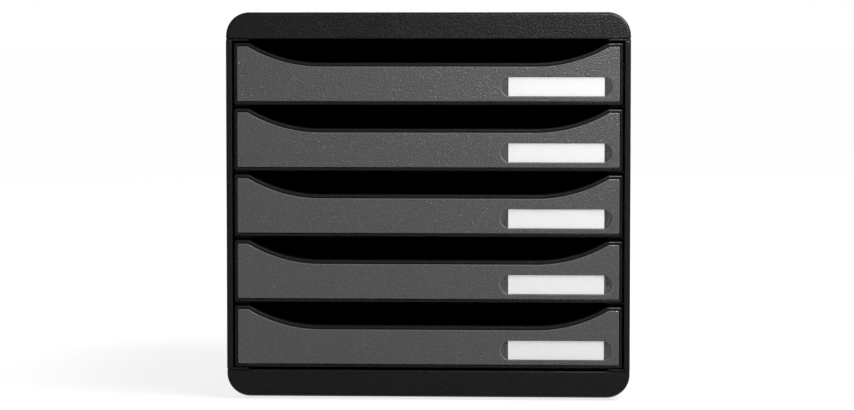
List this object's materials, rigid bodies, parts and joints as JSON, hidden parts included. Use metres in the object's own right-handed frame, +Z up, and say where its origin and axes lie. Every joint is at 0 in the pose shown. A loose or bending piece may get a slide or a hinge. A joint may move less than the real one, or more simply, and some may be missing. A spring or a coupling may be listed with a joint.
{
  "type": "desktop drawer organizer",
  "caption": "Black desktop organizer with stacked flat drawers for paper; each has a grey scooped front and a label holder, and slides out to a stop.",
  "frame": {"origin": "on the surface it stands on, under the middle of the cabinet", "axes": "+X to the right seen from the front, +Y from the front to the back, +Z up"},
  "size_m": [0.278, 0.347, 0.267],
  "materials": {
    "cabinet": "satin",
    "tray": "satin",
    "front_plate": "matte",
    "label_card": "matte",
    "label_window": "gloss",
    "foot": "matte"
  },
  "bodies": {
    "cabinet": {"top_cover": "cabinet", "bottom_cover": "cabinet", "left_side_panel": "cabinet", "right_side_panel": "cabinet", "back_panel": "cabinet", "foot_front_left": "foot", "foot_front_right": "foot", "foot_rear_left": "foot", "foot_rear_right": "foot"},
    "drawer_1": {"drawer_1_tray": "tray", "drawer_1_front_plate": "front_plate", "drawer_1_label_card": "label_card", "drawer_1_label_window": "label_window"},
    "drawer_2": {"drawer_2_tray": "tray", "drawer_2_front_plate": "front_plate", "drawer_2_label_card": "label_card", "drawer_2_label_window": "label_window"},
    "drawer_3": {"drawer_3_tray": "tray", "drawer_3_front_plate": "front_plate", "drawer_3_label_card": "label_card", "drawer_3_label_window": "label_window"},
    "drawer_4": {"drawer_4_tray": "tray", "drawer_4_front_plate": "front_plate", "drawer_4_label_card": "label_card", "drawer_4_label_window": "label_window"},
    "drawer_5": {"drawer_5_tray": "tray", "drawer_5_front_plate": "front_plate", "drawer_5_label_card": "label_card", "drawer_5_label_window": "label_window"}
  },
  "joints": [
    {"name": "drawer_1_slide", "type": "slide", "parent": "cabinet", "child": "drawer_1", "axis": [0, -1, 0], "range_m": [0, 0.255]},
    {"name": "drawer_2_slide", "type": "slide", "parent": "cabinet", "child": "drawer_2", "axis": [0, -1, 0], "range_m": [0, 0.255]},
    {"name": "drawer_3_slide", "type": "slide", "parent": "cabinet", "child": "drawer_3", "axis": [0, -1, 0], "range_m": [0, 0.255]},
    {"name": "drawer_4_slide", "type": "slide", "parent": "cabinet", "child": "drawer_4", "axis": [0, -1, 0], "range_m": [0, 0.255]},
    {"name": "drawer_5_slide", "type": "slide", "parent": "cabinet", "child": "drawer_5", "axis": [0, -1, 0], "range_m": [0, 0.255]}
  ]
}
